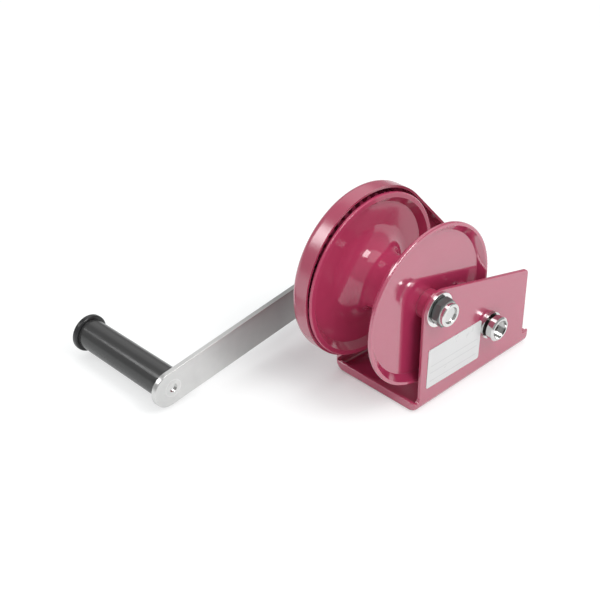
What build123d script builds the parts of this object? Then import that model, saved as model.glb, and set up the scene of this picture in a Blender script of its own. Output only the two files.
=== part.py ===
from build123d import *
import os
from math import acos, atan2, cos, degrees, pi, radians, sin, sqrt, tan

# Brake winch, in millimetres. +X points out of the near side plate along the drum axis,
# +Y runs back along the base and +Z is up. The origin is the middle of the base's underside.

# Bent frame
frame_width = 114.0
base_depth = 184.0
sheet = 4.0
sheet_edge_round = 1.0
side_bend = 11.0
lip_bend = 5.0
front_lip_height = 12.3
back_lip_height = 14.5
foot_height = 16.0
foot_curve = 4.2
plate_seat = 1.0
front_overhang = 5.8
back_overhang = 12.2
drum_setback = 25.7
drum_height = 118.5
near_corner_rise = 26.8
near_top_slope = 15.7
near_corner_round = 22.0
back_corner_round = 6.0
base_hole_pitch_x = 70.0
base_hole_pitch_y = 100.0
base_hole_radius = 6.5

# Rim round the far side plate
guard_radius = 91.6
guard_rise = 3.6
guard_sheet = 2.5
guard_depth = 18.5
guard_tangent_angle = 41.4
far_edge_round = 9.0
far_notch_round = 8.0
far_back_round = 12.0

# Rating plate
plate_width = 82.0
plate_height = 47.0
plate_thickness = 0.6
plate_from_front = 8.9
plate_from_floor = 25.0
plate_tilt = -1.5
plate_corner = 2.5

# Drum
near_flange_radius = 87.5
far_flange_radius = 89.4
flange_crease = 77.5
flange_shoulder = 84.0
flange_lip = 6.5
flange_sheet = 4.0
flange_crease_round = 4.0
flange_edge_round = 1.2
core_radius = 30.0
core_flare = 25.0
gear_to_plate = 4.1
flange_to_plate = 11.4

# Gears
gear_module = 3.5
gear_teeth = 48
pinion_teeth = 12
gear_width = 9.0
pressure_angle = 20.0
profile_shift = 0.3
tooth_thinning = 0.15
tooth_tip = 1.0
tooth_root = 1.25
tooth_cut_past_tip = 0.7
flank_steps = 6
drive_drop = 60.2
gear_screw_radius = 4.0
gear_screw_head = 7.5
gear_screw_length = 28.0
gear_screw_circle = 26.0
gear_screw_count = 6

# Drum axle
axle_radius = 9.0
axle_head_flats = 27.0
axle_head_height = 11.5
axle_end_chamfer = 1.2
axle_end_recess = 1.8
washer_radius = 18.5
washer_thickness = 3.0
washer_edge_round = 0.5
locknut_height = 10.0
locknut_collar_height = 4.0
locknut_collar_radius = 12.4
locknut_collar_round = 1.2
locknut_turn = 6.0
sleeve_wall = 3.0
drum_bush_wall = 3.0
drum_bush_length = 38.0
spacer_radius = 15.5
thrust_washer_radius = 19.0

# Rope clamp on the near flange
rope_hole_radius = 5.5
rope_hole_circle = 66.0
rope_hole_angle = -20.0
clamp_length = 34.0
clamp_width = 14.0
clamp_thickness = 3.5
clamp_offset = 15.0
clamp_screw_radius = 3.0
clamp_screw_head_radius = 5.0
clamp_screw_head_height = 3.0
clamp_screw_pitch = 22.0

# Drive shaft and its bushes
shaft_radius = 13.5
shaft_end_length = 14.3
shaft_end_chamfer = 1.5
shaft_recess_radius = 10.4
shaft_recess_depth = 5.5
shaft_centre_radius = 4.0
shaft_centre_depth = 3.0
bush_wall = 1.4
bush_flange = 1.5
bush_flange_radius = 19.0
ring_thickness = 2.5
ring_radius = 14.7
ring_groove = 1.2
neck_width = 3.4
neck_depth = 2.8

# Brake
disc_radius = 36.0
disc_thickness = 6.0
disc_boss_radius = 21.0
disc_boss_length = 3.2
friction_outer = 35.0
friction_inner = 20.0
friction_thickness = 3.0
key_width = 8.0
key_depth_in_shaft = 4.0
key_depth_in_disc = 3.0
key_end_margin = 1.2
ratchet_width = 8.0
ratchet_tip = 42.0
ratchet_root = 36.0
ratchet_teeth = 12
ratchet_bore = 18.0

# Pawl
pawl_pin_distance = 64.0
pawl_pin_angle = 70.0
pawl_thickness = 7.0
pawl_boss_radius = 11.0
pawl_nose_height = 12.0
pawl_nose_width = 6.0
pawl_arm_rise = 5.5
pawl_pin_radius = 6.0
pawl_pin_collar = 9.0
pawl_ring_radius = 9.0
pawl_ring_thickness = 1.2
pawl_ring_groove = 1.0
pawl_pin_tail = 2.0

# Crank
crank_length = 278.2
crank_end_margin = 4.5
crank_slope = 6.9
crank_width = 40.0
crank_thickness = 6.0
crank_standoff = 68.0
crank_edge_round = 0.8
hub_radius = 22.0
hub_spigot_radius = 17.0
hub_nose_gap = 0.8
thread_radius = 12.0
stud_radius = 8.0
stop_gap = 0.5
stop_washer_radius = 17.0
stop_washer_thickness = 3.0
stop_nut_flats = 24.0
stop_nut_height = 13.0
stud_tail = 2.0

# Handle
spindle_radius = 8.0
spindle_head_radius = 10.0
spindle_head_depth = 4.0
spindle_dimple_radius = 5.0
spindle_dimple_depth = 2.0
spindle_tail = 1.5
grip_length = 127.6
grip_radius = 17.6
grip_end_radius = 16.8
grip_edge_round = 3.0
grip_cap_radius = 20.6
grip_cap_length = 7.0
grip_cap_wall = 2.5
grip_cap_round = 2.0
grip_cap_cavity = 14.0
spindle_ring_radius = 12.5
spindle_ring_thickness = 1.2
spindle_ring_groove = 0.8

# Hexagons: the round face that their chamfer leaves, as a share of the width across flats
hex_face = 0.90
hex_chamfer_angle = 30.0
hex_blank_margin = 0.5

# Clearances
running_clearance = 0.05
axial_gap = 0.3
pawl_gap = 0.4
pawl_heel_gap = 0.8

# Places along X
near_out = frame_width / 2
near_in = near_out - sheet
far_out = -near_out
far_in = -near_in
gear_low = far_in + gear_to_plate
gear_high = gear_low + gear_width
far_flange_face = gear_high + flange_sheet
near_flange_face = near_in - flange_to_plate
core_high = near_flange_face - flange_sheet
disc_low = far_out - axial_gap - disc_boss_length - disc_thickness
inner_friction_low = disc_low - friction_thickness
ratchet_high = inner_friction_low - axial_gap
ratchet_low = ratchet_high - ratchet_width
hub_flange_high = ratchet_low - axial_gap - friction_thickness
hub_flange_low = hub_flange_high - disc_thickness
crank_high = far_out - crank_standoff
crank_low = crank_high - crank_thickness
stop_washer_high = crank_low - stop_gap
stop_nut_high = stop_washer_high - stop_washer_thickness
stop_nut_low = stop_nut_high - stop_nut_height
grip_high = crank_low - axial_gap
grip_low = grip_high - grip_length
spindle_ring_high = grip_low - axial_gap
spindle_low = spindle_ring_high - spindle_ring_thickness - spindle_tail

# Places along Y and Z
base_front = -base_depth / 2
base_back = base_depth / 2
plate_front = base_front + front_overhang
plate_back = base_back - back_overhang
centre_distance = gear_module * (gear_teeth + pinion_teeth) / 2
drive_run = sqrt(centre_distance**2 - drive_drop**2)
drum_centre = (base_front + drum_setback, drum_height)
drive_centre = (drum_centre[0] + drive_run, drum_centre[1] - drive_drop)
handle_centre = (
    drive_centre[0] - crank_length * cos(radians(crank_slope)),
    drive_centre[1] - crank_length * sin(radians(crank_slope)),
)
pawl_nose_radius = ratchet_tip + pawl_gap
pawl_tip_angle = pawl_pin_angle + degrees(acos(pawl_nose_radius / pawl_pin_distance))
pawl_length = sqrt(pawl_pin_distance**2 - pawl_nose_radius**2)
pawl_pin_centre = (
    drive_centre[0] + pawl_pin_distance * cos(radians(pawl_pin_angle)),
    drive_centre[1] + pawl_pin_distance * sin(radians(pawl_pin_angle)),
)
mesh_angle = degrees(atan2(-drive_drop, drive_run))


def across(x, centre):
    """A plane square to the drum axis: its x is +Y, its y is +Z and it faces +X."""
    return Plane(origin=(x, centre[0], centre[1]), x_dir=(0, 1, 0), z_dir=(1, 0, 0))


def lengthwise(centre):
    """A plane that holds an axis along X: its x is +X and its y is the radius, up."""
    return Plane(origin=(0, centre[0], centre[1]), x_dir=(1, 0, 0), z_dir=(0, -1, 0))


def axis_along_x(centre):
    return Axis((0, centre[0], centre[1]), (1, 0, 0))


def rod(radius, x_low, x_high, centre, mode=Mode.ADD):
    """Add or cut a round bar along X in the current part."""
    with Locations(across(x_low, centre)):
        Cylinder(radius, x_high - x_low, align=(Align.CENTER, Align.CENTER, Align.MIN), mode=mode)


def ring(outer, inner, x_low, x_high, centre):
    rod(outer, x_low, x_high, centre)
    rod(inner, x_low, x_high, centre, mode=Mode.SUBTRACT)


def hexagon(flats, x_low, x_high, centre, turn=0):
    """Add a hexagon bar along X to the current part, its corners chamfered at both ends."""
    length = x_high - x_low
    face_radius = hex_face * flats / 2
    blank_radius = flats / sqrt(3) + hex_blank_margin
    rise = (blank_radius - face_radius) * tan(radians(hex_chamfer_angle))
    with BuildPart() as bar:
        with BuildSketch():
            RegularPolygon(flats / 2, 6, major_radius=False, rotation=turn)
        extrude(amount=length)
        with BuildSketch(Plane.XZ):
            with BuildLine():
                Polyline(
                    (0, 0),
                    (face_radius, 0),
                    (blank_radius, rise),
                    (blank_radius, length - rise),
                    (face_radius, length),
                    (0, length),
                    close=True,
                )
            make_face()
        revolve(axis=Axis.Z, mode=Mode.INTERSECT)
    with Locations(across(x_low, centre)):
        add(bar.part)


def involute(angle):
    return tan(angle) - angle


def tooth_flank(teeth, shift, radius):
    """Angle from the middle of a tooth space to its flank, at one radius."""
    pitch_radius = gear_module * teeth / 2
    base_radius = pitch_radius * cos(radians(pressure_angle))
    thickness = gear_module * (pi / 2 + 2 * shift * tan(radians(pressure_angle))) - tooth_thinning
    roll = involute(radians(pressure_angle)) - involute(acos(base_radius / radius))
    return pi / teeth - thickness / (2 * pitch_radius) - roll


def tip_radius(teeth, shift):
    return gear_module * (teeth / 2 + tooth_tip + shift)


def tooth_space(teeth, shift):
    """The gap between two involute teeth, on the +x axis."""
    pitch_radius = gear_module * teeth / 2
    base_radius = pitch_radius * cos(radians(pressure_angle))
    root_radius = gear_module * (teeth / 2 - tooth_root + shift)
    start_radius = max(base_radius, root_radius)
    end_radius = tip_radius(teeth, shift) + tooth_cut_past_tip
    flank = []
    for step in range(flank_steps + 1):
        radius = start_radius + (end_radius - start_radius) * step / flank_steps
        angle = tooth_flank(teeth, shift, radius)
        flank.append((radius * cos(angle), radius * sin(angle)))
    foot_angle = tooth_flank(teeth, shift, start_radius)
    foot = (root_radius * cos(foot_angle), root_radius * sin(foot_angle))
    with BuildSketch() as space:
        with BuildLine():
            upper = Spline(flank)
            lower = Spline([(x, -y) for x, y in flank])
            ThreePointArc(upper @ 1, (end_radius, 0), lower @ 1)
            ThreePointArc(foot, (root_radius, 0), (foot[0], -foot[1]))
            if start_radius > root_radius:
                Line(upper @ 0, foot)
                Line(lower @ 0, (foot[0], -foot[1]))
        make_face()
    return space.sketch


os.makedirs("parts", exist_ok=True)

# Frame: a pressed tray as base, with lips and feet, and two side plates that stand in its sides
near_top_drop = tan(radians(near_top_slope))
near_front_top = drum_height + near_corner_rise
near_back_top = near_front_top - near_top_drop * (plate_back - plate_front)
guard_centre = (drum_centre[0], drum_centre[1] + guard_rise)
tangent_point = (
    guard_centre[0] + guard_radius * cos(radians(guard_tangent_angle)),
    guard_centre[1] + guard_radius * sin(radians(guard_tangent_angle)),
)
far_back_top = tangent_point[1] - (plate_back - tangent_point[0]) / tan(radians(guard_tangent_angle))
plate_low = side_bend - plate_seat

with BuildPart() as tray:
    with BuildSketch(Plane.XZ.offset(-base_back)):
        with Locations((0, foot_height)):
            RectangleRounded(frame_width, 2 * foot_height, side_bend)
        with Locations((0, 2 * foot_height)):
            Rectangle(frame_width, 2 * foot_height, mode=Mode.SUBTRACT)
    extrude(amount=base_depth)
    fillet(tray.faces().filter_by(Axis.Y).edges().group_by(Axis.Z)[0], lip_bend)
    with BuildSketch(Plane.XZ.offset(sheet - base_back)):
        with Locations((0, foot_height)):
            RectangleRounded(frame_width - 2 * sheet, 2 * (foot_height - sheet), side_bend - sheet)
    extrude(amount=base_depth - 2 * sheet, mode=Mode.SUBTRACT)
    with BuildSketch(across(far_in, (0, 0))):
        for lip_low, lip_height in ((base_front, front_lip_height), (base_back - sheet, back_lip_height)):
            with Locations((lip_low, lip_height - sheet_edge_round)):
                Rectangle(sheet, foot_height, align=(Align.MIN, Align.MIN))
            with Locations((lip_low, lip_height)):
                RectangleRounded(
                    sheet, sheet, sheet_edge_round, align=(Align.MIN, Align.MAX), mode=Mode.SUBTRACT
                )
    extrude(amount=near_in - far_in, mode=Mode.SUBTRACT)
    with BuildSketch(across(near_in, (0, 0))) as near_foot_cut:
        with Locations((base_front, front_lip_height)):
            Rectangle(front_overhang, foot_height, align=(Align.MIN, Align.MIN))
        foot_corner = Vector(plate_front, front_lip_height)
        fillet(near_foot_cut.vertices().sort_by_distance(foot_corner)[0], foot_curve)
    extrude(amount=sheet, mode=Mode.SUBTRACT)

with BuildPart() as near_plate:
    with BuildSketch(across(near_in, (0, 0))) as near_outline:
        with BuildLine():
            back_curve = CenterArc(
                (plate_back + foot_curve, foot_height + foot_curve), foot_curve, 180, 90
            )
            Polyline(
                back_curve @ 1,
                (plate_back + foot_curve, plate_low),
                (plate_front, plate_low),
                (plate_front, near_front_top),
                (plate_back, near_back_top),
                back_curve @ 0,
            )
        make_face()
        front_corner = Vector(plate_front, near_front_top)
        back_corner = Vector(plate_back, near_back_top)
        fillet(near_outline.vertices().sort_by_distance(front_corner)[0], near_corner_round)
        fillet(near_outline.vertices().sort_by_distance(back_corner)[0], back_corner_round)
    extrude(amount=sheet)
    # All edges but the last two, which end in the back foot
    near_edges = near_plate.faces().filter_by(Axis.X).edges()
    fillet(near_edges.filter_by(Axis.Y, reverse=True).sort_by(Axis.Y)[:-2], sheet_edge_round)

# The far plate and the rim round it share one rolled outer edge
with BuildPart() as far_shell:
    with BuildSketch(across(far_out, (0, 0))) as far_outline:
        with Locations(drum_centre, guard_centre):
            Circle(guard_radius)
        with Locations(drum_centre):
            Rectangle(2 * guard_radius, guard_rise, align=(Align.CENTER, Align.MIN))
        with BuildLine():
            Polyline(
                (plate_front, plate_low),
                (plate_front, drum_centre[1]),
                tangent_point,
                (plate_back, far_back_top),
                (plate_back, plate_low),
                close=True,
            )
        make_face()
        front_edge = far_outline.edges().filter_by(Axis.Y).sort_by(Axis.X)[0]
        fillet(front_edge.vertices().sort_by(Axis.Y)[-1], far_notch_round)
        fillet(far_outline.vertices().group_by(Axis.X)[-1].sort_by(Axis.Y)[-1], far_back_round)
    extrude(amount=sheet + guard_depth)
    far_edges = far_shell.faces().sort_by(Axis.X)[0].edges()
    fillet(far_edges.filter_by(Axis.Y, reverse=True), far_edge_round)

with BuildPart() as far_plate:
    add(far_shell.part)
    split(bisect_by=across(far_in, (0, 0)), keep=Keep.BOTTOM)

with BuildPart() as frame:
    add(tray.part)
    add(near_plate.part)
    add(far_plate.part)
    rod(axle_radius, far_out, near_out, drum_centre, mode=Mode.SUBTRACT)
    rod(shaft_radius + bush_wall, far_out, near_out, drive_centre, mode=Mode.SUBTRACT)
    rod(pawl_pin_radius, far_out, far_in, pawl_pin_centre, mode=Mode.SUBTRACT)
    with GridLocations(base_hole_pitch_x, base_hole_pitch_y, 2, 2):
        Cylinder(
            base_hole_radius,
            sheet,
            align=(Align.CENTER, Align.CENTER, Align.MIN),
            mode=Mode.SUBTRACT,
        )
frame.part.label = "frame"
export_step(frame.part, "parts/frame.step")

# Rim round the far plate's edge: an arc round the drum, a higher one over it, then a run down the back
plate_setback = drum_setback - front_overhang
low_sweep = degrees(acos(plate_setback / guard_radius))
high_sweep = 180 - guard_tangent_angle
run_y = sin(radians(guard_tangent_angle))
run_z = -cos(radians(guard_tangent_angle))
rim_run = (plate_back - tangent_point[0]) / run_y - far_back_round
rim_step = Vector(rim_run * run_y, rim_run * run_z)
inner_radius = guard_radius - guard_sheet

with BuildPart() as gear_guard:
    with BuildSketch(across(far_in, (0, 0))):
        with BuildLine():
            outer_low = CenterArc(drum_centre, guard_radius, 180, low_sweep)
            inner_low = CenterArc(drum_centre, inner_radius, 180, low_sweep)
            outer_high = CenterArc(guard_centre, guard_radius, guard_tangent_angle, high_sweep)
            inner_high = CenterArc(guard_centre, inner_radius, guard_tangent_angle, high_sweep)
            outer_run = Line(outer_high @ 0, (outer_high @ 0) + rim_step)
            inner_run = Line(inner_high @ 0, (inner_high @ 0) + rim_step)
            Line(outer_low @ 0, outer_high @ 1)
            Line(inner_low @ 0, inner_high @ 1)
            Line(outer_run @ 1, inner_run @ 1)
            Line(outer_low @ 1, inner_low @ 1)
        make_face()
    extrude(amount=guard_depth)
    add(far_shell.part, mode=Mode.INTERSECT)
gear_guard.part.label = "gear_guard"
export_step(gear_guard.part, "parts/gear_guard.step")

# Rating plate, left bare
plate_centre = (
    plate_front + plate_from_front + plate_width / 2,
    plate_from_floor + plate_height / 2,
)

with BuildPart() as rating_plate:
    with BuildSketch(across(near_out, plate_centre)):
        RectangleRounded(plate_width, plate_height, plate_corner, rotation=plate_tilt)
    extrude(amount=plate_thickness)
rating_plate.part.label = "rating_plate"
export_step(rating_plate.part, "parts/rating_plate.step")

# Drum core: a spool that flares into both flanges
sleeve_radius = axle_radius + sleeve_wall
drum_bush_inner = sleeve_radius + running_clearance
core_bore = drum_bush_inner + drum_bush_wall
flare_radius = core_radius + core_flare


def gear_screws_at(mode):
    """The screws that go through gear and far flange into the core."""
    with Locations(across(gear_low, drum_centre)):
        with PolarLocations(gear_screw_circle, gear_screw_count):
            Cylinder(
                gear_screw_radius,
                gear_screw_length,
                align=(Align.CENTER, Align.CENTER, Align.MIN),
                mode=mode,
            )
            Cone(
                gear_screw_head,
                gear_screw_radius,
                gear_screw_head - gear_screw_radius,
                align=(Align.CENTER, Align.CENTER, Align.MIN),
                mode=mode,
            )


with BuildPart() as drum_core:
    with BuildSketch(lengthwise(drum_centre)):
        with BuildLine():
            far_flare = CenterArc((far_flange_face + core_flare, flare_radius), core_flare, 180, 90)
            near_flare = CenterArc((core_high - core_flare, flare_radius), core_flare, 270, 90)
            Line(far_flare @ 1, near_flare @ 0)
            Polyline(near_flare @ 1, (core_high, core_bore), (far_flange_face, core_bore), far_flare @ 0)
        make_face()
    revolve(axis=axis_along_x(drum_centre))
    gear_screws_at(Mode.SUBTRACT)
drum_core.part.label = "drum_core"
export_step(drum_core.part, "parts/drum_core.step")

with BuildPart() as drum_bushes:
    for bush_low in (gear_low, near_flange_face - drum_bush_length):
        ring(core_bore, drum_bush_inner, bush_low, bush_low + drum_bush_length, drum_centre)
drum_bushes.part.label = "drum_bushes"
export_step(drum_bushes.part, "parts/drum_bushes.step")


flange_slope = atan2(flange_lip, flange_shoulder - flange_crease)
flange_shift = flange_sheet * tan(flange_slope / 2)


def flange_outline(face, radius):
    """Half section of a flange whose rim stands proud of its flat face, at x = face."""
    rim_face = face + flange_lip
    with BuildSketch() as outline:
        with BuildLine():
            Polyline(
                (face - flange_sheet, core_bore),
                (face, core_bore),
                (face, flange_crease),
                (rim_face, flange_shoulder),
                (rim_face, radius),
                (rim_face - flange_sheet, radius),
                (rim_face - flange_sheet, flange_shoulder + flange_shift),
                (face - flange_sheet, flange_crease + flange_shift),
                close=True,
            )
        make_face()
        # Outwards: two at the bore, the crease's two and the shoulder's front, then the rim's three
        corners = outline.vertices().sort_by(Axis.Y)
        fillet(corners[5:], flange_edge_round)
        fillet(corners[2:5], flange_crease_round)
    return outline.sketch


def rope_clamp_place(radius):
    """A spot on the near flange's flat face, on the radius of the rope hole."""
    return PolarLocations(radius, 1, start_angle=rope_hole_angle)


clamp_circle = rope_hole_circle - clamp_offset


def clamp_screws_at(radius, height, lift, mode=Mode.ADD):
    """Two round bars that stand on the near flange, beside the rope."""
    with Locations(across(near_flange_face + lift, drum_centre)):
        with rope_clamp_place(clamp_circle):
            with GridLocations(0, clamp_screw_pitch, 1, 2):
                Cylinder(radius, height, align=(Align.CENTER, Align.CENTER, Align.MIN), mode=mode)


with BuildPart() as near_flange:
    with BuildSketch(lengthwise(drum_centre)):
        add(flange_outline(near_flange_face, near_flange_radius))
    revolve(axis=axis_along_x(drum_centre))
    with Locations(across(near_flange_face, drum_centre)):
        with rope_clamp_place(rope_hole_circle):
            Cylinder(
                rope_hole_radius,
                flange_sheet,
                align=(Align.CENTER, Align.CENTER, Align.MAX),
                mode=Mode.SUBTRACT,
            )
    clamp_screws_at(clamp_screw_radius, flange_sheet, -flange_sheet, mode=Mode.SUBTRACT)
near_flange.part.label = "near_flange"
export_step(near_flange.part, "parts/near_flange.step")

with BuildPart() as far_flange:
    with BuildSketch(lengthwise(drum_centre)):
        add(flange_outline(far_flange_face, far_flange_radius))
    revolve(axis=axis_along_x(drum_centre))
    gear_screws_at(Mode.SUBTRACT)
far_flange.part.label = "far_flange"
export_step(far_flange.part, "parts/far_flange.step")

with BuildPart() as rope_clamp:
    with Locations(across(near_flange_face, drum_centre)):
        with rope_clamp_place(clamp_circle):
            Box(
                clamp_width,
                clamp_length,
                clamp_thickness,
                align=(Align.CENTER, Align.CENTER, Align.MIN),
            )
    clamp_screws_at(clamp_screw_radius, clamp_thickness, 0, mode=Mode.SUBTRACT)
rope_clamp.part.label = "rope_clamp"
export_step(rope_clamp.part, "parts/rope_clamp.step")

with BuildPart() as clamp_screws:
    clamp_screws_at(clamp_screw_radius, flange_sheet + clamp_thickness, -flange_sheet)
    clamp_screws_at(clamp_screw_head_radius, clamp_screw_head_height, clamp_thickness)
clamp_screws.part.label = "clamp_screws"
export_step(clamp_screws.part, "parts/clamp_screws.step")

# Drum gear, with a tooth space turned towards the pinion
with BuildPart() as drum_gear:
    with BuildSketch(across(gear_low, drum_centre)):
        Circle(tip_radius(gear_teeth, -profile_shift))
        with PolarLocations(0, gear_teeth, start_angle=mesh_angle):
            add(tooth_space(gear_teeth, -profile_shift), mode=Mode.SUBTRACT)
        Circle(core_bore, mode=Mode.SUBTRACT)
    extrude(amount=gear_width)
    gear_screws_at(Mode.SUBTRACT)
drum_gear.part.label = "drum_gear"
export_step(drum_gear.part, "parts/drum_gear.step")

with BuildPart() as gear_screws:
    gear_screws_at(Mode.ADD)
gear_screws.part.label = "gear_screws"
export_step(gear_screws.part, "parts/gear_screws.step")

# Drum axle: bolt, washers, locknut and the sleeve that it clamps between the side plates
axle_head_high = far_out - washer_thickness
locknut_low = near_out + washer_thickness
locknut_high = locknut_low + locknut_height + locknut_collar_height
axle_end = locknut_high - axle_end_recess

with BuildPart() as drum_axle:
    rod(axle_radius, axle_head_high, axle_end, drum_centre)
    chamfer(drum_axle.faces().sort_by(Axis.X)[-1].edges(), axle_end_chamfer)
    hexagon(axle_head_flats, axle_head_high - axle_head_height, axle_head_high, drum_centre)
drum_axle.part.label = "drum_axle"
export_step(drum_axle.part, "parts/drum_axle.step")

with BuildPart() as axle_washers:
    for washer_low in (axle_head_high, near_out):
        ring(washer_radius, axle_radius, washer_low, washer_low + washer_thickness, drum_centre)
    washer_circles = axle_washers.edges().filter_by(GeomType.CIRCLE)
    fillet(washer_circles.group_by(SortBy.RADIUS)[-1], washer_edge_round)
axle_washers.part.label = "axle_washers"
export_step(axle_washers.part, "parts/axle_washers.step")

with BuildPart() as axle_locknut:
    rod(locknut_collar_radius, locknut_low, locknut_high, drum_centre)
    fillet(axle_locknut.faces().sort_by(Axis.X)[-1].edges(), locknut_collar_round)
    hexagon(axle_head_flats, locknut_low, locknut_low + locknut_height, drum_centre, locknut_turn)
    rod(axle_radius, locknut_low, locknut_high, drum_centre, mode=Mode.SUBTRACT)
axle_locknut.part.label = "axle_locknut"
export_step(axle_locknut.part, "parts/axle_locknut.step")

with BuildPart() as axle_sleeve:
    ring(sleeve_radius, axle_radius + running_clearance, far_in, near_in, drum_centre)
axle_sleeve.part.label = "axle_sleeve"
export_step(axle_sleeve.part, "parts/axle_sleeve.step")

with BuildPart() as near_spacer:
    spacer_low = near_flange_face + axial_gap
    ring(spacer_radius, sleeve_radius + running_clearance, spacer_low, near_in, drum_centre)
near_spacer.part.label = "near_spacer"
export_step(near_spacer.part, "parts/near_spacer.step")

with BuildPart() as thrust_washer:
    washer_high = gear_low - axial_gap
    ring(thrust_washer_radius, sleeve_radius + running_clearance, far_in, washer_high, drum_centre)
thrust_washer.part.label = "thrust_washer"
export_step(thrust_washer.part, "parts/thrust_washer.step")

# Drive shaft with its pinion, running in two flanged bushes
bush_radius = shaft_radius + bush_wall
bush_inner = shaft_radius + running_clearance
shaft_end = near_out + shaft_end_length
ring_low = near_out + axial_gap
ring_high = ring_low + ring_thickness
pinion_low = far_in + bush_flange + axial_gap
pinion_high = gear_high - 2 * axial_gap
stud_low = stop_nut_low - stud_tail
disc_high = far_out - axial_gap
key_length = disc_high - disc_low - 2 * key_end_margin


def key_at(mode):
    """The key between drive shaft and pressure disc, on top of the shaft."""
    key_height = key_depth_in_shaft + key_depth_in_disc
    key_middle = drive_centre[1] + shaft_radius + (key_depth_in_disc - key_depth_in_shaft) / 2
    with Locations(((disc_low + disc_high) / 2, drive_centre[0], key_middle)):
        Box(key_length, key_width, key_height, mode=mode)


def groove(radius, depth, x_low, x_high, centre):
    """Cut a ring groove into a round bar of the current part."""
    with Locations(across(x_low, centre)):
        add(groove_ring(radius, depth, x_high - x_low), mode=Mode.SUBTRACT)


def groove_ring(radius, depth, width):
    with BuildPart() as cutter:
        Cylinder(radius + depth, width, align=(Align.CENTER, Align.CENTER, Align.MIN))
        Cylinder(radius - depth, width, align=(Align.CENTER, Align.CENTER, Align.MIN), mode=Mode.SUBTRACT)
    return cutter.part


with BuildPart() as drive_shaft:
    rod(shaft_radius, disc_low, shaft_end, drive_centre)
    chamfer(drive_shaft.faces().sort_by(Axis.X)[-1].edges(), shaft_end_chamfer)
    recess_low = shaft_end - shaft_recess_depth
    centre_low = recess_low - shaft_centre_depth
    rod(shaft_recess_radius, recess_low, shaft_end, drive_centre, mode=Mode.SUBTRACT)
    rod(shaft_centre_radius, centre_low, recess_low, drive_centre, mode=Mode.SUBTRACT)
    groove(shaft_radius, ring_groove, ring_low, ring_high, drive_centre)
    groove(shaft_radius, neck_depth, ring_high, ring_high + neck_width, drive_centre)
    with BuildSketch(across(pinion_low, drive_centre)):
        Circle(tip_radius(pinion_teeth, profile_shift))
        with PolarLocations(0, pinion_teeth, start_angle=mesh_angle + 180 + 180 / pinion_teeth):
            add(tooth_space(pinion_teeth, profile_shift), mode=Mode.SUBTRACT)
    extrude(amount=pinion_high - pinion_low)
    rod(thread_radius, stop_washer_high, disc_low, drive_centre)
    rod(stud_radius, stud_low, stop_washer_high, drive_centre)
    key_at(Mode.SUBTRACT)
drive_shaft.part.label = "drive_shaft"
export_step(drive_shaft.part, "parts/drive_shaft.step")

with BuildPart() as near_shaft_bush:
    ring(bush_radius, bush_inner, near_in, near_out, drive_centre)
    ring(bush_flange_radius, bush_inner, near_in - bush_flange, near_in, drive_centre)
near_shaft_bush.part.label = "near_shaft_bush"
export_step(near_shaft_bush.part, "parts/near_shaft_bush.step")

with BuildPart() as far_shaft_bush:
    ring(bush_radius, bush_inner, far_out, far_in, drive_centre)
    ring(bush_flange_radius, bush_inner, far_in, far_in + bush_flange, drive_centre)
far_shaft_bush.part.label = "far_shaft_bush"
export_step(far_shaft_bush.part, "parts/far_shaft_bush.step")

with BuildPart() as shaft_ring:
    ring(ring_radius, shaft_radius - ring_groove, ring_low, ring_high, drive_centre)
shaft_ring.part.label = "shaft_ring"
export_step(shaft_ring.part, "parts/shaft_ring.step")

# Brake: pressure disc keyed to the shaft, friction discs, ratchet wheel
with BuildPart() as pressure_disc:
    rod(disc_radius, disc_low, disc_low + disc_thickness, drive_centre)
    rod(disc_boss_radius, disc_low, disc_high, drive_centre)
    rod(shaft_radius, disc_low, disc_high, drive_centre, mode=Mode.SUBTRACT)
    key_at(Mode.SUBTRACT)
pressure_disc.part.label = "pressure_disc"
export_step(pressure_disc.part, "parts/pressure_disc.step")

with BuildPart() as drive_key:
    key_at(Mode.ADD)
drive_key.part.label = "drive_key"
export_step(drive_key.part, "parts/drive_key.step")

with BuildPart() as inner_friction_disc:
    ring(friction_outer, friction_inner, inner_friction_low, disc_low, drive_centre)
inner_friction_disc.part.label = "inner_friction_disc"
export_step(inner_friction_disc.part, "parts/inner_friction_disc.step")

with BuildPart() as outer_friction_disc:
    ring(
        friction_outer,
        friction_inner,
        hub_flange_high,
        hub_flange_high + friction_thickness,
        drive_centre,
    )
outer_friction_disc.part.label = "outer_friction_disc"
export_step(outer_friction_disc.part, "parts/outer_friction_disc.step")

ratchet_points = []
for tooth in range(ratchet_teeth):
    tooth_angle = 2 * pi * tooth / ratchet_teeth
    for tooth_radius in (ratchet_root, ratchet_tip):
        ratchet_points.append((tooth_radius * cos(tooth_angle), tooth_radius * sin(tooth_angle)))

with BuildPart() as ratchet_wheel:
    with BuildSketch(across(ratchet_low, drive_centre)):
        with BuildLine():
            Polyline(ratchet_points, close=True)
        make_face()
        Circle(ratchet_bore, mode=Mode.SUBTRACT)
    extrude(amount=ratchet_width)
ratchet_wheel.part.label = "ratchet_wheel"
export_step(ratchet_wheel.part, "parts/ratchet_wheel.step")

# Pawl on its pin, its nose just clear of the ratchet's tips
pawl_low = ratchet_low + (ratchet_width - pawl_thickness) / 2
pawl_high = pawl_low + pawl_thickness
pawl_ring_high = pawl_low - axial_gap
pawl_ring_low = pawl_ring_high - pawl_ring_thickness
pawl_pin_low = pawl_ring_low - pawl_pin_tail
tip_angle = radians(pawl_tip_angle)
pawl_plane = Plane(
    origin=(pawl_high, pawl_pin_centre[0], pawl_pin_centre[1]),
    x_dir=(0, -sin(tip_angle), cos(tip_angle)),
    z_dir=(-1, 0, 0),
)

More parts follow.
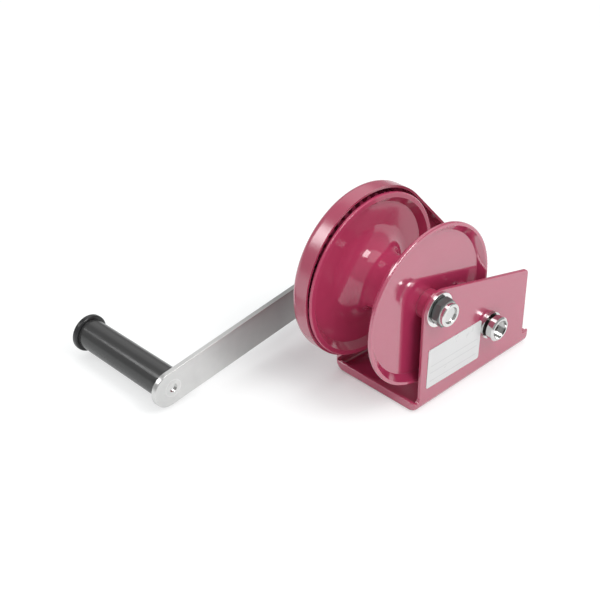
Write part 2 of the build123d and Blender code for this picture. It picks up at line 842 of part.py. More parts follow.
with BuildPart() as pawl:
    with BuildSketch(pawl_plane):
        Circle(pawl_boss_radius)
        with BuildLine():
            Polyline(
                (pawl_length, 0),
                (pawl_length, pawl_nose_height),
                (0, pawl_boss_radius),
                (0, -pawl_boss_radius),
                (pawl_length - 2 * pawl_nose_width, pawl_arm_rise),
                (pawl_length - pawl_nose_width, pawl_heel_gap),
                close=True,
            )
        make_face()
        Circle(pawl_pin_radius + running_clearance, mode=Mode.SUBTRACT)
    extrude(amount=pawl_thickness)
pawl.part.label = "pawl"
export_step(pawl.part, "parts/pawl.step")

with BuildPart() as pawl_pin:
    rod(pawl_pin_radius, pawl_pin_low, far_in, pawl_pin_centre)
    rod(pawl_pin_collar, pawl_high + axial_gap, far_out, pawl_pin_centre)
    groove(pawl_pin_radius, pawl_ring_groove, pawl_ring_low, pawl_ring_high, pawl_pin_centre)
pawl_pin.part.label = "pawl_pin"
export_step(pawl_pin.part, "parts/pawl_pin.step")

with BuildPart() as pawl_ring:
    ring(
        pawl_ring_radius,
        pawl_pin_radius - pawl_ring_groove,
        pawl_ring_low,
        pawl_ring_high,
        pawl_pin_centre,
    )
pawl_ring.part.label = "pawl_ring"
export_step(pawl_ring.part, "parts/pawl_ring.step")

# Crank: hub on the shaft's thread, flat arm, and the stop on the shaft's end
hub_nose_high = disc_low - hub_nose_gap

with BuildPart() as crank_hub:
    rod(disc_radius, hub_flange_low, hub_flange_high, drive_centre)
    rod(hub_radius, crank_high, hub_flange_low, drive_centre)
    rod(ratchet_bore - running_clearance, hub_flange_high, hub_nose_high, drive_centre)
    rod(hub_spigot_radius, crank_low, crank_high, drive_centre)
    rod(thread_radius + running_clearance, crank_low, hub_nose_high, drive_centre, mode=Mode.SUBTRACT)
crank_hub.part.label = "crank_hub"
export_step(crank_hub.part, "parts/crank_hub.step")


def spindle_head_at(mode):
    """The spindle's riveted head, flush with the crank arm's face."""
    with Locations(across(crank_high - spindle_head_depth, handle_centre)):
        Cone(
            spindle_radius,
            spindle_head_radius,
            spindle_head_depth,
            align=(Align.CENTER, Align.CENTER, Align.MIN),
            mode=mode,
        )


crank_slot = crank_length + crank_end_margin
crank_middle = (
    drive_centre[0] - crank_slot / 2 * cos(radians(crank_slope)),
    drive_centre[1] - crank_slot / 2 * sin(radians(crank_slope)),
)

with BuildPart() as crank_arm:
    with BuildSketch(across(crank_low, crank_middle)):
        SlotCenterToCenter(crank_slot, crank_width, rotation=crank_slope)
    extrude(amount=crank_thickness)
    fillet(crank_arm.faces().filter_by(Axis.X).edges(), crank_edge_round)
    rod(hub_spigot_radius, crank_low, crank_high, drive_centre, mode=Mode.SUBTRACT)
    rod(spindle_radius, crank_low, crank_high, handle_centre, mode=Mode.SUBTRACT)
    spindle_head_at(Mode.SUBTRACT)
crank_arm.part.label = "crank_arm"
export_step(crank_arm.part, "parts/crank_arm.step")

with BuildPart() as stop_washer:
    ring(stop_washer_radius, stud_radius, stop_nut_high, stop_washer_high, drive_centre)
stop_washer.part.label = "stop_washer"
export_step(stop_washer.part, "parts/stop_washer.step")

with BuildPart() as stop_nut:
    hexagon(stop_nut_flats, stop_nut_low, stop_nut_high, drive_centre)
    rod(stud_radius, stop_nut_low, stop_nut_high, drive_centre, mode=Mode.SUBTRACT)
stop_nut.part.label = "stop_nut"
export_step(stop_nut.part, "parts/stop_nut.step")

# Handle: spindle riveted into the crank arm, grip that turns on it
grip_bore = spindle_radius + running_clearance
spindle_ring_low = spindle_ring_high - spindle_ring_thickness
grip_cap_low = grip_low - grip_cap_length

with BuildPart() as handle_spindle:
    rod(spindle_radius, spindle_low, crank_high, handle_centre)
    spindle_head_at(Mode.ADD)
    dimple_low = crank_high - spindle_dimple_depth
    rod(spindle_dimple_radius, dimple_low, crank_high, handle_centre, mode=Mode.SUBTRACT)
    groove(spindle_radius, spindle_ring_groove, spindle_ring_low, spindle_ring_high, handle_centre)
handle_spindle.part.label = "handle_spindle"
export_step(handle_spindle.part, "parts/handle_spindle.step")

with BuildPart() as spindle_ring:
    ring(
        spindle_ring_radius,
        spindle_radius - spindle_ring_groove,
        spindle_ring_low,
        spindle_ring_high,
        handle_centre,
    )
spindle_ring.part.label = "spindle_ring"
export_step(spindle_ring.part, "parts/spindle_ring.step")

with BuildPart() as grip:
    with BuildSketch(lengthwise(handle_centre)):
        with BuildLine():
            Polyline(
                (grip_high, grip_bore),
                (grip_high, grip_radius),
                (grip_low, grip_end_radius),
                (grip_low, grip_bore),
                close=True,
            )
        make_face()
    revolve(axis=axis_along_x(handle_centre))
    crank_end = grip.faces().sort_by(Axis.X)[-1]
    fillet(crank_end.outer_wire().edges(), grip_edge_round)
grip.part.label = "grip"
export_step(grip.part, "parts/grip.step")

with BuildPart() as grip_cap:
    rod(grip_cap_radius, grip_cap_low, grip_low, handle_centre)
    fillet(grip_cap.edges().filter_by(GeomType.CIRCLE), grip_cap_round)
    rod(grip_cap_cavity, grip_cap_low + grip_cap_wall, grip_low, handle_centre, mode=Mode.SUBTRACT)
grip_cap.part.label = "grip_cap"
export_step(grip_cap.part, "parts/grip_cap.step")
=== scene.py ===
from math import radians

import bpy
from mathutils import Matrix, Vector


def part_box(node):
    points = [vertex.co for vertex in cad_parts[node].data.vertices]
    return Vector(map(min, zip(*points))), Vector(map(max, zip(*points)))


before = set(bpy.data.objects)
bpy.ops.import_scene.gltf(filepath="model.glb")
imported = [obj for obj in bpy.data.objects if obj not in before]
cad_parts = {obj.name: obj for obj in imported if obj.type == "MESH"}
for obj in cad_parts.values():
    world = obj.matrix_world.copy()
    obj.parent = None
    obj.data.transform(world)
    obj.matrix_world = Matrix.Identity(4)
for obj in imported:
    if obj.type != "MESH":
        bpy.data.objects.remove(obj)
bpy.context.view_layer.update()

# Camera, fitted to the photograph's straight edges and circles
photo_pixels = 600
focal_pixels = 1467.0
sensor_mm = 36.0
camera_azimuth = 45.31
camera_elevation = 33.70
camera_place = (0.80814, -0.99944, 0.92262)
camera_reach = 50.0

# Floor, in metres. A share of white says how far its own tone gives way to plain white.
floor_size = 12.0
floor_colour = (0.945, 0.970, 0.963, 1.0)
floor_glow = 1.15
shade_middle = (-0.10, -0.06, 0.0)
shade_edge = (0.05, 0.16)
white_in_shade = 0.05
white_past_shade = 0.55
all_white_edge = (0.55, 1.4)
lip_shade_middle = (-0.01, -0.12, 0.0)
lip_shade_edge = (0.05, 0.11)
white_in_mirror = 0.34

# Room. The card is a white field that only the glossy pieces mirror. Its edge is given as two cosines.
background_white = (1.0, 1.0, 1.0, 1.0)
mirrored_grey = (0.42, 0.42, 0.42, 1.0)
ambient_grey = (0.62, 0.62, 0.63, 1.0)
card_direction = (-0.60, 0.48, 0.64)
card_edge = (0.92, 0.98)

# Points that the lamps face
floor_middle = (0.0, -0.05, 0.0)
drum_middle = (0.0, -0.066, 0.118)

# Colours, linear
enamel_pink = (0.450, 0.041, 0.112, 1.0)
# A lighter copy of the same pink, as painted light on the far flange and the drum core
enamel_painted_lighter = (0.490, 0.052, 0.128, 1.0)
# A deeper pink: the paint's random deep tone, and also a copy as painted shade on the gear guard
enamel_deep_and_shaded = (0.385, 0.030, 0.086, 1.0)
enamel_thin = (1.0, 0.75, 0.82, 1.0)
# Painted shade: a dark red set inside the far side plate and on the guard's back edge
painted_shade_dark = (0.260, 0.008, 0.045, 1.0)
zinc_pale = (0.760, 0.755, 0.745, 1.0)
zinc_mid = (0.700, 0.698, 0.690, 1.0)
zinc_grey = (0.620, 0.620, 0.615, 1.0)
bright_zinc = (0.860, 0.860, 0.855, 1.0)
nut_grey = (0.340, 0.345, 0.345, 1.0)
# Painted shade for the locknut's flats, standing in for their dark reflection
nut_flat_shade = (0.106, 0.118, 0.115, 1.0)
# Painted shade on the crank bar towards the hub, standing in for the dark reflection there
painted_hub_shade = (0.120, 0.122, 0.121, 1.0)
hard_steel = (0.175, 0.175, 0.180, 1.0)
bronze_colour = (0.480, 0.270, 0.105, 1.0)
lining_colour = (0.050, 0.036, 0.027, 1.0)
lining_fleck = (0.190, 0.140, 0.085, 1.0)
grip_black = (0.043, 0.043, 0.043, 1.0)
cap_black = (0.020, 0.020, 0.021, 1.0)
film_white = (0.735, 0.740, 0.735, 1.0)
film_rule = (0.430, 0.435, 0.440, 1.0)
# Dark grease, and also painted shade in the drive shaft's neck groove
grease_and_shade_dark = (0.022, 0.013, 0.010, 1.0)

# How deep a bump of full strength is, in metres
grain_depth = 0.0001
lining_depth = 0.0002

# Kinds of socket, and the numbers that Blender's Mix node gives its colour sockets
colour_socket = "NodeSocketColor"
value_socket = "NodeSocketFloat"
vector_socket = "NodeSocketVector"
mix_share, mix_first, mix_second, mix_result = 0, 6, 7, 2


def connect(tree, socket, value):
    """Link a socket to the one that is given, or set its value."""
    if isinstance(value, bpy.types.NodeSocket):
        tree.links.new(value, socket)
    else:
        socket.default_value = value


def place(tree, kind, inputs=None, **settings):
    """Add a shader node, with its inputs linked or set."""
    made = tree.nodes.new(kind)
    for name, value in settings.items():
        setattr(made, name, value)
    for name, value in (inputs or {}).items():
        connect(tree, made.inputs[name], value)
    return made


def maths(tree, operation, first, second=0.0):
    return place(tree, "ShaderNodeMath", {0: first, 1: second}, operation=operation).outputs[0]


def vector_maths(tree, operation, first, second):
    """Maths with two vectors, as the node's outputs Vector and Value."""
    return place(tree, "ShaderNodeVectorMath", {0: first, 1: second}, operation=operation).outputs


def mixed(tree, share, first, second):
    """A colour between two others."""
    inputs = {mix_share: share, mix_first: first, mix_second: second}
    return place(tree, "ShaderNodeMix", inputs, data_type="RGBA").outputs[mix_result]


def spread(tree, value, low=0.0, high=1.0, to_low=0.0, to_high=1.0):
    """A value stretched from one range to another and held inside it."""
    inputs = {"Value": value, "From Min": low, "From Max": high, "To Min": to_low, "To Max": to_high}
    return place(tree, "ShaderNodeMapRange", inputs).outputs["Result"]


def noise(tree, where, scale, detail):
    inputs = {"Vector": where, "Scale": scale, "Detail": detail}
    return place(tree, "ShaderNodeTexNoise", inputs).outputs["Fac"]


def own_place(tree):
    """Each point's place in the object's own frame, in metres."""
    return place(tree, "ShaderNodeTexCoord").outputs["Object"]


def axes(tree, where):
    """A place's X, Y and Z."""
    return place(tree, "ShaderNodeSeparateXYZ", {"Vector": where}).outputs


def levelled(tree, where, tilt):
    """A place turned about the X axis, so that a piece which tilts by so many degrees lies level."""
    inputs = {"Vector": where, "Rotation": (radians(-tilt), 0.0, 0.0)}
    return place(tree, "ShaderNodeMapping", inputs).outputs["Vector"]


def distance_from(tree, point):
    """How far each point lies from a given one, in metres."""
    return vector_maths(tree, "DISTANCE", own_place(tree), point)["Value"]


def grouped(tree, group, **inputs):
    """Place a node group, with its own values, and give its outputs."""
    return place(tree, "ShaderNodeGroup", inputs, node_tree=group).outputs


def new_group(name, inputs, outputs):
    """An empty node group, as (group, what it is given, its end). An input of None is a vector."""
    group = bpy.data.node_groups.new(name, "ShaderNodeTree")
    for label, value in inputs.items():
        if value is None:
            socket = group.interface.new_socket(label, in_out="INPUT", socket_type=vector_socket)
            socket.hide_value = True
        else:
            kind = colour_socket if isinstance(value, tuple) else value_socket
            socket = group.interface.new_socket(label, in_out="INPUT", socket_type=kind)
            socket.default_value = value
    for label, kind in outputs.items():
        group.interface.new_socket(label, in_out="OUTPUT", socket_type=kind)
    return group, place(group, "NodeGroupInput").outputs, place(group, "NodeGroupOutput")


def send(group, ends, **values):
    """Link values to the group's end."""
    for label, value in values.items():
        group.links.new(value, ends.inputs[label])


def edge_touch():
    """How near a point is to an edge: 1 on the edge, 0 away from it."""
    group, given, ends = new_group("edge_touch", {"Width": 0.001}, {"Mask": value_socket})
    flat, sharp = 0.995, 0.86
    softened = place(group, "ShaderNodeBevel", {"Radius": given["Width"]}, samples=6).outputs["Normal"]
    plain = place(group, "ShaderNodeNewGeometry").outputs["Normal"]
    agreement = vector_maths(group, "DOT_PRODUCT", softened, plain)["Value"]
    send(group, ends, Mask=spread(group, agreement, flat, sharp))
    return group


def paint_flow(edge_group):
    """Stove enamel: slow changes of tone, a faint orange peel and thinner paint on the edges."""
    given_values = {"Colour": enamel_pink, "Deep Colour": enamel_deep_and_shaded, "Edge": 0.0012, "Gloss": 0.05}
    made_values = {"Colour": colour_socket, "Roughness": value_socket, "Height": value_socket}
    group, given, ends = new_group("paint_flow", given_values, made_values)
    thinning, paleness, unevenness = 0.35, 0.30, 0.05
    where = own_place(group)
    cloud = noise(group, where, scale=21.0, detail=3.0)
    tone = spread(group, cloud, low=0.35, high=0.70, to_high=0.22)
    toned = mixed(group, tone, given["Colour"], given["Deep Colour"])
    edge = grouped(group, edge_group, Width=given["Edge"])
    thin = maths(group, "MULTIPLY", edge["Mask"], thinning)
    pale = mixed(group, paleness, given["Colour"], enamel_thin)
    dull = maths(group, "MULTIPLY", noise(group, where, scale=60.0, detail=4.0), unevenness)
    send(
        group,
        ends,
        Colour=mixed(group, thin, toned, pale),
        Roughness=maths(group, "ADD", given["Gloss"], dull),
        Height=noise(group, where, scale=420.0, detail=2.0),
    )
    return group


def plating_bloom(edge_group):
    """Zinc plate: a cloudy tone, fine scatter in the roughness, and corners rubbed bright."""
    given_values = {"Colour": zinc_pale, "Shade": zinc_grey, "Edge": 0.0008, "Roughness": 0.25}
    made_values = {"Colour": colour_socket, "Roughness": value_socket, "Height": value_socket}
    group, given, ends = new_group("plating_bloom", given_values, made_values)
    rubbing, scattering = 0.7, 0.08
    where = own_place(group)
    cloud = noise(group, where, scale=45.0, detail=5.0)
    tone = spread(group, cloud, low=0.35, high=0.68, to_high=0.7)
    toned = mixed(group, tone, given["Colour"], given["Shade"])
    edge = grouped(group, edge_group, Width=given["Edge"])
    rubbed = maths(group, "MULTIPLY", edge["Mask"], rubbing)
    grain = noise(group, where, scale=1800.0, detail=2.0)
    scatter = maths(group, "MULTIPLY", grain, scattering)
    send(
        group,
        ends,
        Colour=mixed(group, rubbed, toned, bright_zinc),
        Roughness=maths(group, "ADD", given["Roughness"], scatter),
        Height=grain,
    )
    return group


def drawn_lines():
    """Fine lines along the first axis of the place that is given, as rolling or turning leaves them."""
    given_values = {"Place": None, "Fineness": 900.0}
    group, given, ends = new_group("drawn_lines", given_values, {"Lines": value_socket})
    drawn_out = (0.02, 1.0, 1.0)
    stretched = vector_maths(group, "MULTIPLY", given["Place"], drawn_out)["Vector"]
    lines = noise(group, stretched, scale=given["Fineness"], detail=3.0)
    send(group, ends, Lines=spread(group, lines, low=0.3, high=0.7))
    return group


def moulded_skin():
    """Moulded plastic: a fine spark-eroded grain and slightly uneven gloss."""
    made_values = {"Roughness": value_socket, "Height": value_socket}
    group, given, ends = new_group("moulded_skin", {"Roughness": 0.35, "Grain": 1500.0}, made_values)
    where = own_place(group)
    grain = noise(group, where, scale=given["Grain"], detail=3.0)
    cloud = noise(group, where, scale=70.0, detail=3.0)
    patches = spread(group, cloud, low=0.3, high=0.7, to_low=-0.04, to_high=0.05)
    send(group, ends, Roughness=maths(group, "ADD", given["Roughness"], patches), Height=grain)
    return group


def grease_film():
    """Where old grease clings: patches, thicker in the middle of each."""
    group, given, ends = new_group("grease_film", {"Amount": 0.5}, {"Mask": value_socket})
    dry_level, fall, thickening = 0.82, 0.6, 0.12
    patches = noise(group, own_place(group), scale=95.0, detail=5.0)
    level = maths(group, "SUBTRACT", dry_level, maths(group, "MULTIPLY", given["Amount"], fall))
    thick = maths(group, "SUBTRACT", patches, level)
    send(group, ends, Mask=spread(group, thick, high=thickening))
    return group


edges = edge_touch()
flow = paint_flow(edges)
bloom = plating_bloom(edges)
lines_along = drawn_lines()
moulding = moulded_skin()
grease = grease_film()


def new_material(name):
    """A material with its shader, as (material, node tree, shader)."""
    material = bpy.data.materials.new(name)
    material.use_nodes = True
    tree = material.node_tree
    return material, tree, tree.nodes["Principled BSDF"]


def feed(tree, shader, **values):
    """Set or link the shader's sockets, named with underscores for spaces."""
    for label, value in values.items():
        connect(tree, shader.inputs[label.replace("_", " ")], value)


def bumped(tree, height, strength, depth=grain_depth):
    inputs = {"Height": height, "Strength": strength, "Distance": depth}
    return place(tree, "ShaderNodeBump", inputs).outputs["Normal"]


def inside_far_plate(tree):
    """A mask: 1 on the far side plate's inner face, behind the gear, where painted shade goes."""
    inner_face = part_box("gear_guard")[0][0]
    on_face, off_face = 0.0001, 0.0003
    base_top, base_fade = 0.030, 0.004
    spot = axes(tree, own_place(tree))
    past = spread(tree, spot["X"], inner_face - off_face, inner_face - on_face)
    before = spread(tree, spot["X"], inner_face + on_face, inner_face + off_face, to_low=1.0, to_high=0.0)
    above = spread(tree, spot["Z"], base_top, base_top + base_fade)
    return maths(tree, "MULTIPLY", maths(tree, "MULTIPLY", past, before), above)


def guard_back_edge(tree):
    """A mask: high on the guard's cut edge, where it runs down at the back, for painted shade."""
    cut_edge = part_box("gear_guard")[1][0]
    on_cut, off_cut = 0.0002, 0.0006
    top_end, back_start = -0.050, -0.024
    shade_strength = 0.85
    spot = axes(tree, own_place(tree))
    on_edge = spread(tree, spot["X"], cut_edge - off_cut, cut_edge - on_cut)
    behind = spread(tree, spot["Y"], top_end, back_start, to_high=shade_strength)
    return maths(tree, "MULTIPLY", on_edge, behind)


def enamel(name, colour, gloss, ior, coat, peel=0.06, edge=0.0012, shade_mask=None):
    """Glossy stove enamel on steel. Where the mask that is given is high, painted shade makes it dark,
    duller and metallic without a coat, so that its reflection is dark too.
    """
    material, tree, shader = new_material(name)
    shade_roughening = 0.3
    skin = grouped(tree, flow, Colour=colour, Gloss=gloss, Edge=edge)
    feed(
        tree,
        shader,
        Base_Color=skin["Colour"],
        Roughness=skin["Roughness"],
        Normal=bumped(tree, skin["Height"], peel),
        IOR=ior,
        Coat_Weight=coat,
        Coat_Roughness=0.04,
    )
    # Painted shade: dark colour, rougher, metallic and without a coat where the mask is high
    if shade_mask:
        shade_share = shade_mask(tree)
        duller = maths(tree, "MULTIPLY", shade_share, shade_roughening)
        feed(
            tree,
            shader,
            Base_Color=mixed(tree, shade_share, skin["Colour"], painted_shade_dark),
            Roughness=maths(tree, "ADD", skin["Roughness"], duller),
            Metallic=shade_share,
            Coat_Weight=spread(tree, shade_share, to_low=coat, to_high=0.0),
        )
    return material


def gear_enamel():
    """Enamel on the drum gear, with grease between its teeth."""
    material, tree, shader = new_material("gear_enamel")
    skin = grouped(tree, flow, Gloss=0.35)
    film = grouped(tree, grease, Amount=0.45)
    feed(
        tree,
        shader,
        Base_Color=mixed(tree, film["Mask"], skin["Colour"], grease_and_shade_dark),
        Roughness=skin["Roughness"],
        Normal=bumped(tree, skin["Height"], strength=0.05),
        IOR=1.45,
    )
    return material


def plain_metal(name, colour, shade, roughness, edge, grain=0.05):
    """Plated steel, or the bushes' bronze."""
    material, tree, shader = new_material(name)
    skin = grouped(tree, bloom, Colour=colour, Shade=shade, Roughness=roughness, Edge=edge)
    feed(
        tree,
        shader,
        Base_Color=skin["Colour"],
        Roughness=skin["Roughness"],
        Normal=bumped(tree, skin["Height"], grain),
        Metallic=1.0,
    )
    return material


def crank_plating():
    """The crank bar: satin plate over the rolled bar's lines, bright by the handle and darkening towards
    the hub with painted shade that stands in for a dark reflection.
    """
    material, tree, shader = new_material("crank_plating")
    crank_slope = 6.9
    handle_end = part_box("crank_arm")[0][1]
    hub_shade_start, hub_shade_end, hub_shade_depth = 0.068, 0.180, 0.66
    streaking = 0.03
    spot = axes(tree, levelled(tree, own_place(tree), crank_slope))
    along = place(tree, "ShaderNodeCombineXYZ", {"X": spot["Y"], "Y": spot["Z"], "Z": spot["X"]})
    rolled = grouped(tree, lines_along, Place=along.outputs["Vector"], Fineness=700.0)
    skin = grouped(tree, bloom, Colour=zinc_mid, Shade=zinc_grey, Roughness=0.24, Edge=0.0012)
    # Painted shade: the bar's colour turns dark towards the hub, for the dark floor it mirrors there
    hub_shaded = spread(tree, spot["Y"], handle_end + hub_shade_start, handle_end + hub_shade_end, to_high=hub_shade_depth)
    streak = maths(tree, "MULTIPLY", rolled["Lines"], streaking)
    feed(
        tree,
        shader,
        Base_Color=mixed(tree, hub_shaded, skin["Colour"], painted_hub_shade),
        Roughness=maths(tree, "ADD", skin["Roughness"], streak),
        Normal=bumped(tree, rolled["Lines"], strength=0.02),
        Metallic=1.0,
    )
    return material


def nut_steel():
    """The axle's locknut: hexagon flats with fine drawn lines, painted dark and nearly non-metallic as
    painted shade for the dark reflection they show, and a bright turned collar.
    """
    material, tree, shader = new_material("nut_steel")
    hexagon_height, collar_fade = 0.0092, 0.0008
    # The flats: painted shade, dark and with little metal
    flat_metal = 0.15
    collar_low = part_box("axle_locknut")[0][0] + hexagon_height
    where = own_place(tree)
    drawn = grouped(tree, lines_along, Place=where, Fineness=1300.0)
    turned = spread(tree, axes(tree, where)["X"], collar_low, collar_low + collar_fade)
    skin = grouped(tree, bloom, Colour=zinc_pale, Shade=zinc_mid, Roughness=0.16, Edge=0.0010)
    feed(
        tree,
        shader,
        Base_Color=mixed(tree, turned, nut_flat_shade, skin["Colour"]),
        Roughness=skin["Roughness"],
        Normal=bumped(tree, drawn["Lines"], strength=0.12),
        Metallic=spread(tree, turned, to_low=flat_metal),
    )
    return material


def oiled_steel():
    """Ratchet wheel and pawl: hardened dark steel with an oil film."""
    material, tree, shader = new_material("oiled_steel")
    skin = grouped(tree, bloom, Colour=hard_steel, Shade=nut_grey, Roughness=0.30, Edge=0.0010)
    film = grouped(tree, grease, Amount=0.55)
    feed(
        tree,
        shader,
        Base_Color=mixed(tree, film["Mask"], skin["Colour"], grease_and_shade_dark),
        Roughness=skin["Roughness"],
        Normal=bumped(tree, skin["Height"], strength=0.08),
        Metallic=1.0,
    )
    return material


def shaft_steel():
    """Drive shaft: bright at its turned end, painted shade in the neck groove behind it, greasy from the
    pinion on.
    """
    material, tree, shader = new_material("shaft_steel")
    grease_start, grease_full = -0.036, -0.040
    neck_length, neck_fade, neck_darkness = 0.0034, 0.0002, 0.9
    neck_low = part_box("shaft_ring")[1][0]
    neck_high = neck_low + neck_length
    along = axes(tree, own_place(tree))["X"]
    skin = grouped(tree, bloom, Colour=zinc_mid, Shade=zinc_grey, Roughness=0.10, Edge=0.0012)
    film = grouped(tree, grease, Amount=0.6)
    greasy = maths(tree, "MULTIPLY", film["Mask"], spread(tree, along, grease_start, grease_full))
    # Painted shade in the neck groove behind the end ring, in the grease's dark colour
    past_ring = spread(tree, along, neck_low - neck_fade, neck_low)
    before_end = spread(tree, along, neck_high, neck_high + neck_fade, to_low=neck_darkness, to_high=0.0)
    neck = maths(tree, "MULTIPLY", past_ring, before_end)
    necked = mixed(tree, neck, skin["Colour"], grease_and_shade_dark)
    feed(
        tree,
        shader,
        Base_Color=mixed(tree, greasy, necked, grease_and_shade_dark),
        Roughness=skin["Roughness"],
        Normal=bumped(tree, skin["Height"], strength=0.05),
        Metallic=1.0,
    )
    return material


def brake_lining():
    """Moulded friction lining: dark, with short bright flecks."""
    material, tree, shader = new_material("brake_lining")
    skin = grouped(tree, moulding, Roughness=0.75, Grain=900.0)
    cloud = noise(tree, own_place(tree), scale=650.0, detail=1.0)
    flecks = spread(tree, cloud, low=0.62, high=0.70)
    feed(
        tree,
        shader,
        Base_Color=mixed(tree, flecks, lining_colour, lining_fleck),
        Roughness=skin["Roughness"],
        Normal=bumped(tree, skin["Height"], strength=0.4, depth=lining_depth),
    )
    return material


def plastic(name, colour, roughness, grain):
    """Moulded black plastic, rubbed a little paler on its edges."""
    material, tree, shader = new_material(name)
    wear = 0.10
    skin = grouped(tree, moulding, Roughness=roughness, Grain=grain)
    rubbed = grouped(tree, edges, Width=0.0015)
    worn = maths(tree, "MULTIPLY", rubbed["Mask"], wear)
    feed(
        tree,
        shader,
        Base_Color=mixed(tree, worn, colour, zinc_grey),
        Roughness=skin["Roughness"],
        Normal=bumped(tree, skin["Height"], strength=0.10),
        IOR=1.47,
    )
    return material


def plate_film():
    """The bare rating plate: white film with a few pale ruled lines."""
    material, tree, shader = new_material("plate_film")
    plate_tilt = -1.5
    rule_heights = (-0.0160, -0.0060, 0.0020)
    rule_width, rule_half, rule_fade = 0.0005, 0.036, 0.0005
    rule_strength = 0.45
    low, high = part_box("rating_plate")
    middle = (Vector(low) + Vector(high)) / 2
    from_middle = vector_maths(tree, "SUBTRACT", own_place(tree), tuple(middle))["Vector"]
    spot = axes(tree, levelled(tree, from_middle, plate_tilt))
    ruled = 0.0
    for height in rule_heights:
        away = maths(tree, "ABSOLUTE", maths(tree, "SUBTRACT", spot["Z"], height))
        line = spread(tree, away, rule_width / 2, rule_width, to_low=1.0, to_high=0.0)
        ruled = maths(tree, "MAXIMUM", line, ruled)
    side = maths(tree, "ABSOLUTE", spot["Y"])
    inside = spread(tree, side, rule_half, rule_half + rule_fade, to_low=1.0, to_high=0.0)
    shown = maths(tree, "MULTIPLY", maths(tree, "MULTIPLY", ruled, inside), rule_strength)
    skin = grouped(tree, moulding, Roughness=0.30, Grain=2500.0)
    feed(
        tree,
        shader,
        Base_Color=mixed(tree, shown, film_white, film_rule),
        Roughness=skin["Roughness"],
        Normal=bumped(tree, skin["Height"], strength=0.03),
    )
    return material


def dress(material, *names):
    """Give CAD nodes their material."""
    for name in names:
        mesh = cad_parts[name].data
        mesh.materials.clear()
        mesh.materials.append(material)


# Enamel
dress(
    enamel("frame_enamel", enamel_pink, gloss=0.14, ior=2.3, coat=0.25, shade_mask=inside_far_plate),
    "frame",
)
# The guard's deeper pink is painted shade.
dress(
    enamel("guard_enamel", enamel_deep_and_shaded, gloss=0.19, ior=2.1, coat=0.15, shade_mask=guard_back_edge),
    "gear_guard",
)
dress(enamel("spacer_enamel", enamel_pink, gloss=0.32, ior=1.5, coat=0.0), "near_spacer")
dress(enamel("near_flange_enamel", enamel_pink, gloss=0.07, ior=2.3, coat=0.25, peel=0.04), "near_flange")
# The far flange's and the core's lighter pink is painted light.
dress(enamel("far_flange_enamel", enamel_painted_lighter, gloss=0.10, ior=1.6, coat=0.15, peel=0.08), "far_flange")
dress(enamel("core_enamel", enamel_painted_lighter, gloss=0.06, ior=1.65, coat=0.1, peel=0.04, edge=0.0), "drum_core")
dress(gear_enamel(), "drum_gear")

# Metal
dress(crank_plating(), "crank_arm")
dress(
    plain_metal("hub_plating", zinc_pale, zinc_grey, roughness=0.28, edge=0.0010),
    "crank_hub",
    "pressure_disc",
    "rope_clamp",
)
dress(
    plain_metal("sleeve_steel", zinc_grey, hard_steel, roughness=0.25, edge=0.0006),
    "axle_sleeve",
    "thrust_washer",
)
dress(
    plain_metal("washer_plating", bright_zinc, zinc_pale, roughness=0.13, edge=0.0008),
    "axle_washers",
    "stop_washer",
)
dress(
    plain_metal("bolt_plating", zinc_mid, zinc_grey, roughness=0.16, edge=0.0010),
    "drum_axle",
    "stop_nut",
    "shaft_ring",
)
dress(
    plain_metal("small_steel", zinc_pale, zinc_grey, roughness=0.18, edge=0.0005),
    "pawl_ring",
    "spindle_ring",
)
dress(
    plain_metal("screw_steel", zinc_grey, nut_grey, roughness=0.22, edge=0.0005),
    "clamp_screws",
    "gear_screws",
    "drive_key",
)
dress(plain_metal("spindle_plating", zinc_pale, zinc_grey, roughness=0.20, edge=0.0008), "handle_spindle")
dress(nut_steel(), "axle_locknut")
dress(shaft_steel(), "drive_shaft")
dress(oiled_steel(), "ratchet_wheel", "pawl", "pawl_pin")
dress(
    plain_metal("bush_bronze", bronze_colour, lining_fleck, roughness=0.32, edge=0.0006, grain=0.2),
    "drum_bushes",
    "near_shaft_bush",
    "far_shaft_bush",
)

# Lining, plastic and film
dress(brake_lining(), "inner_friction_disc", "outer_friction_disc")
dress(plastic("grip_plastic", grip_black, roughness=0.20, grain=1400.0), "grip")
dress(plastic("cap_plastic", cap_black, roughness=0.24, grain=2200.0), "grip_cap")
dress(plate_film(), "rating_plate")


def studio_light(name, aim, direction, distance, width, height, watts):
    """A soft box that stands away from a point and faces it."""
    lamp = bpy.data.lights.new(name, "AREA")
    lamp.shape = "RECTANGLE"
    lamp.size = width
    lamp.size_y = height
    lamp.energy = watts
    box = bpy.data.objects.new(name, lamp)
    box.location = Vector(aim) + Vector(direction).normalized() * distance
    box.rotation_euler = Vector(direction).to_track_quat("Z", "Y").to_euler()
    bpy.context.scene.collection.objects.link(box)


def rays(tree):
    """Two masks: 1 for a ray from the camera, and 1 for a ray from a mirror or glass."""
    path = place(tree, "ShaderNodeLightPath").outputs
    return path["Is Camera Ray"], maths(tree, "MAXIMUM", path["Is Glossy Ray"], path["Is Transmission Ray"])


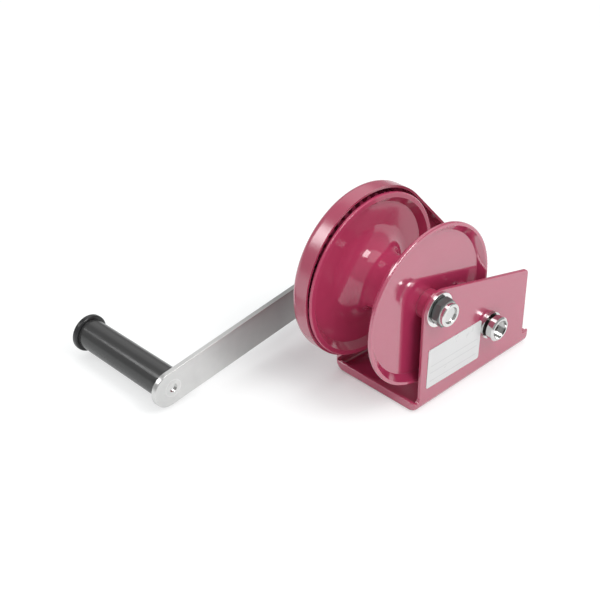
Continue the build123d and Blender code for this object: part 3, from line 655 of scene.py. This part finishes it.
def make_floor():
    """A pale floor that keeps the object's shadow and glows white further out. The glow is set by place:
    least beside the base, where the shade is deepest, and left out in front of the base's lip in what
    mirrors see, which is painted shade in the lip's reflection.
    """
    mesh = bpy.data.meshes.new("floor")
    half = floor_size / 2
    corners = [(-half, -half, 0.0), (half, -half, 0.0), (half, half, 0.0), (-half, half, 0.0)]
    mesh.from_pydata(corners, [], [(0, 1, 2, 3)])
    floor = bpy.data.objects.new("floor", mesh)
    bpy.context.scene.collection.objects.link(floor)
    material = bpy.data.materials.new("floor_paper")
    material.use_nodes = True
    tree = material.node_tree
    tree.nodes.clear()
    paper = place(tree, "ShaderNodeBsdfDiffuse", {"Color": floor_colour})
    glow = place(tree, "ShaderNodeEmission", {"Color": background_white, "Strength": floor_glow})
    seen, mirrored = rays(tree)
    away = distance_from(tree, shade_middle)
    by_object = spread(tree, away, *shade_edge, to_low=white_in_shade, to_high=white_past_shade)
    white_seen = maths(tree, "MAXIMUM", by_object, spread(tree, away, *all_white_edge))
    # Painted shade in mirrors: no glow in front of the base's lip, so the lip mirrors a darker floor
    by_lip = distance_from(tree, lip_shade_middle)
    white_mirrored = spread(tree, by_lip, *lip_shade_edge, to_high=white_in_mirror)
    share = maths(
        tree,
        "ADD",
        maths(tree, "MULTIPLY", seen, white_seen),
        maths(tree, "MULTIPLY", mirrored, white_mirrored),
    )
    shown = place(tree, "ShaderNodeMixShader", {0: share, 1: paper.outputs[0], 2: glow.outputs[0]})
    place(tree, "ShaderNodeOutputMaterial", {"Surface": shown.outputs[0]})
    mesh.materials.append(material)


def make_world():
    """White where the camera looks, grey with a white card where a mirror looks, a plain grey as light."""
    world = bpy.data.worlds.new("studio")
    world.use_nodes = True
    tree = world.node_tree
    tree.nodes.clear()
    seen, mirrored = rays(tree)
    outward = place(tree, "ShaderNodeTexCoord").outputs["Generated"]
    towards_card = vector_maths(tree, "DOT_PRODUCT", outward, card_direction)["Value"]
    room = mixed(tree, spread(tree, towards_card, *card_edge), mirrored_grey, background_white)
    colour = mixed(tree, seen, mixed(tree, mirrored, ambient_grey, room), background_white)
    back = place(tree, "ShaderNodeBackground", {"Color": colour, "Strength": 1.0})
    place(tree, "ShaderNodeOutputWorld", {"Surface": back.outputs[0]})
    bpy.context.scene.world = world


def make_camera():
    lens = bpy.data.cameras.new("camera")
    lens.sensor_width = sensor_mm
    lens.lens = focal_pixels / photo_pixels * sensor_mm
    lens.clip_end = camera_reach
    camera = bpy.data.objects.new("camera", lens)
    camera.location = camera_place
    camera.rotation_euler = (radians(90.0 - camera_elevation), 0.0, radians(camera_azimuth))
    bpy.context.scene.collection.objects.link(camera)
    bpy.context.scene.camera = camera


make_floor()
make_world()
make_camera()
studio_light(
    "overhead_box",
    aim=floor_middle,
    direction=(0.05, 0.12, 1.0),
    distance=1.9,
    width=1.5,
    height=1.5,
    watts=8.0,
)
studio_light(
    "side_box",
    aim=drum_middle,
    direction=(0.58, 0.04, 0.81),
    distance=1.6,
    width=0.60,
    height=0.60,
    watts=9.0,
)
studio_light(
    "front_box",
    aim=drum_middle,
    direction=(-0.59, -0.50, 0.63),
    distance=1.7,
    width=0.35,
    height=0.8,
    watts=4.2,
)
bpy.context.scene.view_settings.view_transform = "Standard"
